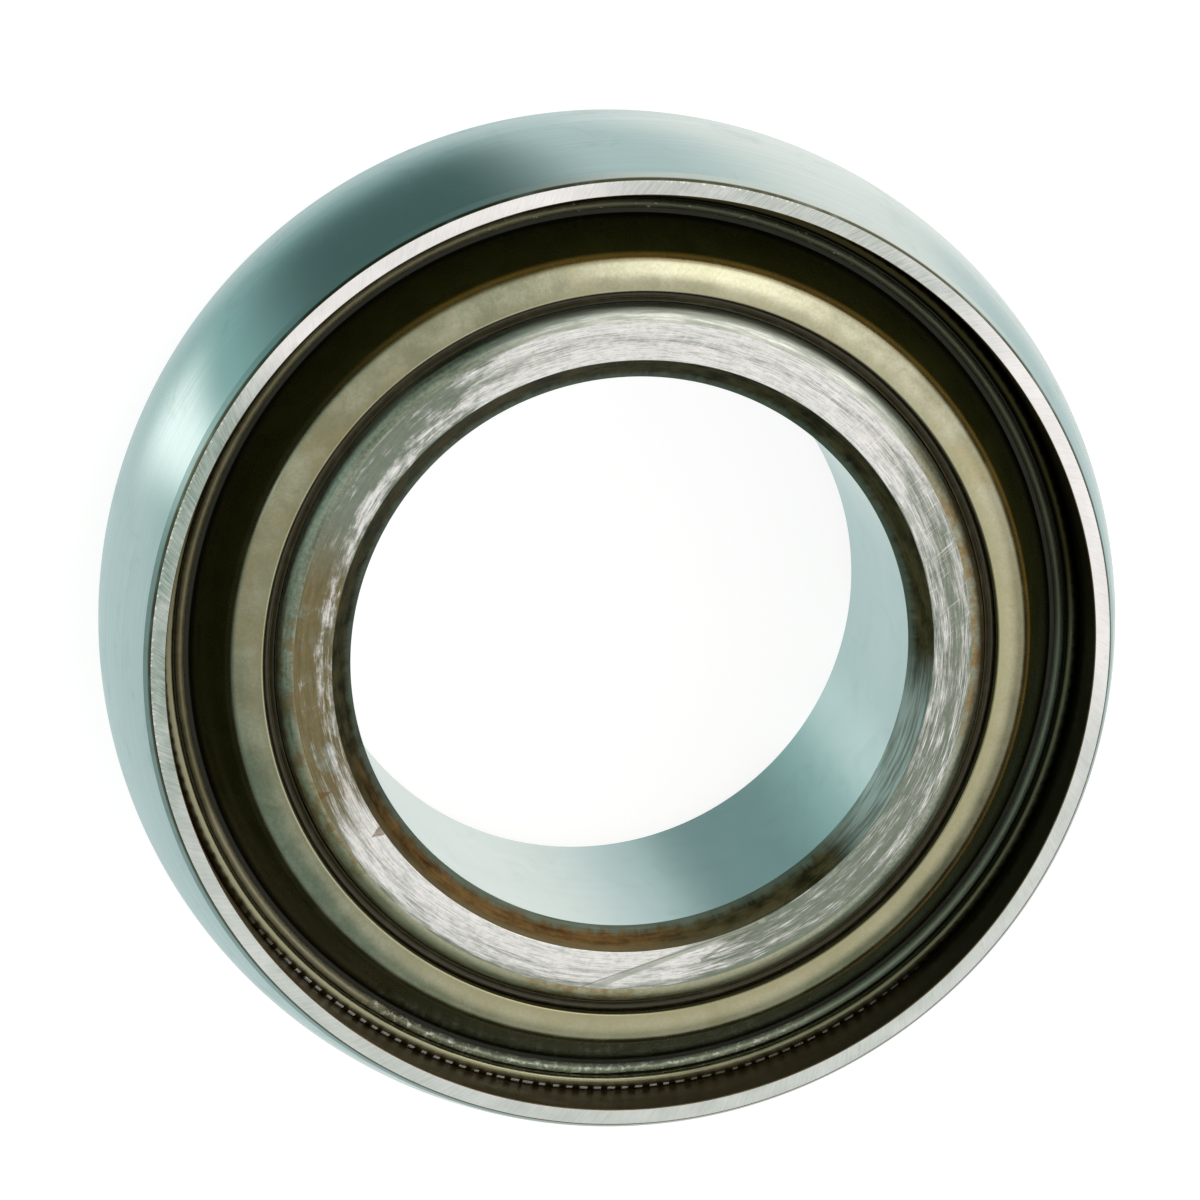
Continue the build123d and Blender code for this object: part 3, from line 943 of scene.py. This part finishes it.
def carrier_plating():
    """The rolled rim: oily and dark, with painted shade over one side, a painted sheen over another, a
    painted highlight along its lower left, and painted glints where it was crimped.
    """
    m = Surface("dark_carrier_plating")
    grime = m.noise(m.round_place(20, 800, 800), 1.0, 5.0, 0.65)
    drift = m.noise(m.round_place(60, 0, 0, 4.0), 1.0, 4.0, 0.6)
    colour = m.mix(grime, srgb(44, 41, 20), srgb(88, 82, 50))
    # painted shade darkens one side, a painted sheen greys another stretch, and a painted highlight lightens
    # the lower left
    colour = m.mix(m.times(m.beside(60, 60, 100), 0.7), colour, srgb(34, 34, 20))
    colour = m.mix(m.times(m.beside(-34, 24, 44), 0.6), colour, srgb(104, 112, 92))
    lower_left_highlight = m.beside(-118, 34, 90)
    colour = m.mix(m.times(lower_left_highlight, 0.85), colour, m.mix(grime, srgb(134, 132, 104), srgb(182, 182, 154)))

    # painted glints on the crimping tool's teeth along the rim's outer edge, strongest over the stretch that
    # catches the light
    inner_limit, outer_limit = CARRIER_WALL - 0.04 * MM, CARRIER_WALL + 0.22 * MM
    ring = m.times(
        m.span(m.radius, inner_limit - 0.06 * MM, inner_limit),
        m.span(m.radius, outer_limit, outer_limit + 0.04 * MM, 1.0, 0.0),
    )
    on_rim = m.span(m.height, HEM_TOP - 0.3 * MM, HEM_TOP - 0.1 * MM)
    wave = m.math("SINE", m.plus(m.times(m.turn, CRIMPS), m.times(drift, 5.0)))
    dashes = m.span(m.plus(wave, m.times(drift, 1.6)), 0.45, 0.95)
    glint_side = m.most(m.beside(-110, 24, 34), m.times(m.beside(-98, 40, 52), 0.55))
    pressed = m.times(ring, on_rim, dashes, glint_side)
    colour = m.mix(pressed, colour, srgb(246, 250, 244))
    rough = m.span(grime, 0.3, 0.7, 0.2, 0.34)
    return m.finish(colour, rough, m.bump(grime, 0.1, 0.0002), m.math("SUBTRACT", 1.0, pressed))


def seal_rubber():
    """Nitrile rubber with an oily film, browned by old grease."""
    m = Surface("nitrile_rubber")
    grain = m.noise(m.place, 2200.0, 4.0)
    film = m.noise(m.round_place(20, 900, -900), 1.0, 4.0)
    colour = m.mix(grain, srgb(42, 37, 20), srgb(68, 62, 40))
    colour = m.mix(m.span(film, 0.5, 0.7, 0.0, 0.5), colour, srgb(84, 80, 58))
    rough = m.span(film, 0.3, 0.7, 0.26, 0.44)
    return m.finish(colour, rough, m.bump(grain, 0.1, 0.0002), metallic=0.0, Specular_IOR_Level=0.5)


# ---------------------------------------------------------------- inside


def ball_steel():
    """Lapped steel, almost a mirror."""
    m = Surface("lapped_ball_steel")
    marks = m.noise(m.place, 700.0, 4.0)
    colour = m.mix(marks, srgb(200, 204, 206), srgb(226, 228, 228))
    return m.finish(colour, m.span(marks, 0.3, 0.7, 0.05, 0.1), m.bump(marks, 0.02, 0.0001))


def cage_steel():
    """Pressed sheet with a dull grain."""
    m = Surface("pressed_cage_sheet")
    grain = m.noise(m.round_place(40, 600, 900), 1.0, 5.0)
    colour = m.mix(grain, srgb(120, 118, 112), srgb(166, 164, 158))
    return m.finish(colour, m.span(grain, 0.3, 0.7, 0.34, 0.5), m.bump(grain, 0.15, 0.0002))


def rivet_steel():
    """The headed rivets, a little brighter than the cage."""
    m = Surface("headed_rivet_steel")
    grain = m.noise(m.place, 1500.0, 4.0)
    colour = m.mix(grain, srgb(132, 132, 130), srgb(178, 178, 176))
    return m.finish(colour, m.span(grain, 0.3, 0.7, 0.28, 0.42), m.bump(grain, 0.1, 0.0002))


def dress_inside():
    """Gives the balls, the cage and its rivets, which keep their CAD shape, their own materials."""
    kinds = {"ball_": ball_steel(), "cage_rivet_": rivet_steel(), "cage_": cage_steel()}
    for name, node in NODES.items():
        for start, material in kinds.items():
            if name.startswith(start):
                node.data.materials.clear()
                node.data.materials.append(material)
                break


make_outer_ring(
    {
        "race": raceway(),
        "recess": recess_wall(),
        "lip": recess_lip(),
        "face": outer_face(),
        "bevel": outer_bevel(),
        "outside": ground_outside(),
    }
)
make_inner_ring(
    {
        "bore": bore_wall(),
        "chamfer": bore_chamfer(),
        "face": inner_face(),
        "corner": inner_corner(),
        "land": inner_land(),
        "race": raceway(),
    }
)
make_shrouds({"plating": shroud_plating(), "bead": bead_sealant()})
make_carriers({"plating": carrier_plating()})
make_lips({"rubber": seal_rubber()})
dress_inside()


# ---------------------------------------------------------------- floor and light

WALLS = (0.20, 0.27, 0.25)
WINDOW = (2.2, 2.15, 2.0)
BRIGHT_WALL = (0.95, 0.95, 0.90)
DIM_WALL = (0.14, 0.14, 0.13)
UNDERSIDE = (0.62, 0.76, 0.76)
PALE_SIDE = (1.04, 1.06, 1.02)
CEILING = (1.05, 1.02, 0.97)
DIM_SIDE = (0.08, 0.15, 0.145)
TEAL_SIDE = (0.33, 0.56, 0.54)
SKY_SIDE = (0.52, 0.53, 0.47)
LOW_SIDE = (0.30, 0.50, 0.49)
STRIP = (1.35, 1.5, 1.46)

FLOOR_REACH = 1.5
FLOOR_GREY = 0.36
FLOOR_GLOW = 0.86


def make_floor():
    """A pale table that glows a little, and that the polished steel doesn't mirror."""
    corners = [(-1, -1), (1, -1), (1, 1), (-1, 1)]
    verts = [(x * FLOOR_REACH, y * FLOOR_REACH, FLOOR_HEIGHT) for x, y in corners]
    mesh = bpy.data.meshes.new("floor")
    mesh.from_pydata(verts, [], [(0, 1, 2, 3)])
    floor = bpy.data.objects.new("floor", mesh)
    bpy.context.scene.collection.objects.link(floor)
    floor.visible_glossy = False
    m = Surface("pale_floor")
    m.finish((FLOOR_GREY, FLOOR_GREY, FLOOR_GREY), 0.6, metallic=0.0, Specular_IOR_Level=0.0)
    m.shader.inputs["Emission Color"].default_value = (1.0, 1.0, 1.0, 1.0)
    m.shader.inputs["Emission Strength"].default_value = FLOOR_GLOW
    mesh.materials.append(m.material)


def make_world():
    """A tent of soft light: a bright ceiling and window, pale and dim sides, and one long straight lamp."""
    world = bpy.data.worlds.new("studio")
    bpy.context.scene.world = world
    world.use_nodes = True
    n = Nodes(world.node_tree)
    ray = n.new("ShaderNodeTexCoord").outputs["Generated"]
    x, y, z = n.split(ray)
    level = n.math("SQRT", n.math("MAXIMUM", n.plus(n.times(x, x), n.times(y, y)), 0.0001))

    def towards(azimuth, elevation, inner, outer):
        """A round field: 1 within an angle of one direction, and 0 beyond a larger angle."""
        a = direction(azimuth, elevation)
        nearness = n.plus(n.times(x, a.x), n.times(y, a.y), n.times(z, a.z))
        return n.span(nearness, cos(radians(outer)), cos(radians(inner)))

    def side(azimuth, inner, outer, low, high):
        """An upright field beside one azimuth, between two elevations, with soft edges."""
        nearness = n.math("DIVIDE", n.along(x, y, azimuth), level)
        wide = n.span(nearness, cos(radians(outer)), cos(radians(inner)))
        bottom = n.span(z, sin(radians(low - 8)), sin(radians(low + 8)))
        top = n.span(z, sin(radians(high - 10)), sin(radians(high + 10)), 1.0, 0.0)
        return n.times(wide, bottom, top)

    def lamp(azimuth, aside, inner, outer):
        """A long straight lamp that stands aside of the upright plane through the axis at this azimuth."""
        off = n.math("ABSOLUTE", n.plus(n.along(x, y, azimuth + 90), -aside))
        thin = n.span(off, inner, outer, 1.0, 0.0)
        in_front = n.span(n.along(x, y, azimuth), 0.02, 0.12)
        ends = n.times(n.span(z, -0.975, -0.87), n.span(z, 0.4, 0.7, 1.0, 0.0))
        return n.times(thin, in_front, ends)

    # each field lies over the ones before it
    light = n.mix(n.span(z, -0.66, -0.44), UNDERSIDE, WALLS)
    light = n.mix(side(-14, 55, 88, -82, -20), light, PALE_SIDE)
    light = n.mix(side(-5, 14, 36, -64, -20), light, UNDERSIDE)
    light = n.mix(side(60, 18, 45, -30, 66), light, BRIGHT_WALL)
    light = n.mix(side(-15, 12, 45, -12, 34), light, DIM_WALL)
    light = n.mix(towards(0, 66, 20, 52), light, CEILING)
    light = n.mix(towards(150, 58, 24, 45), light, SKY_SIDE)
    light = n.mix(towards(60, 50, 6, 18), light, WINDOW)
    light = n.mix(towards(-76, 44, 10, 30), light, tuple(0.85 * c for c in CEILING))
    light = n.mix(side(148, 10, 34, -77, 28), light, TEAL_SIDE)
    light = n.mix(side(116, 10, 36, -76, 28), light, DIM_SIDE)
    light = n.mix(lamp(158, 0.085, 0.02, 0.13), light, STRIP)
    light = n.mix(side(140, 20, 75, -82, -72), light, LOW_SIDE)
    background = n.new("ShaderNodeBackground")
    output = n.new("ShaderNodeOutputWorld")
    n.link(light, background.inputs[0])
    n.link(background.outputs[0], output.inputs[0])


def soft_light(name, azimuth, elevation, distance, size, power):
    """A round soft lamp that looks at the object, and that polished steel doesn't mirror."""
    data = bpy.data.lights.new(name, "AREA")
    data.shape = "DISK"
    data.size = size
    data.energy = power
    light = bpy.data.objects.new(name, data)
    bpy.context.scene.collection.objects.link(light)
    towards = direction(azimuth, elevation)
    light.location = distance * towards
    light.rotation_euler = towards.to_track_quat("Z", "Y").to_euler()
    light.visible_glossy = False


make_floor()
make_world()
soft_light("key_light", azimuth=-40, elevation=22, distance=1.2, size=0.4, power=1.0)
bpy.context.scene.view_settings.view_transform = "Standard"
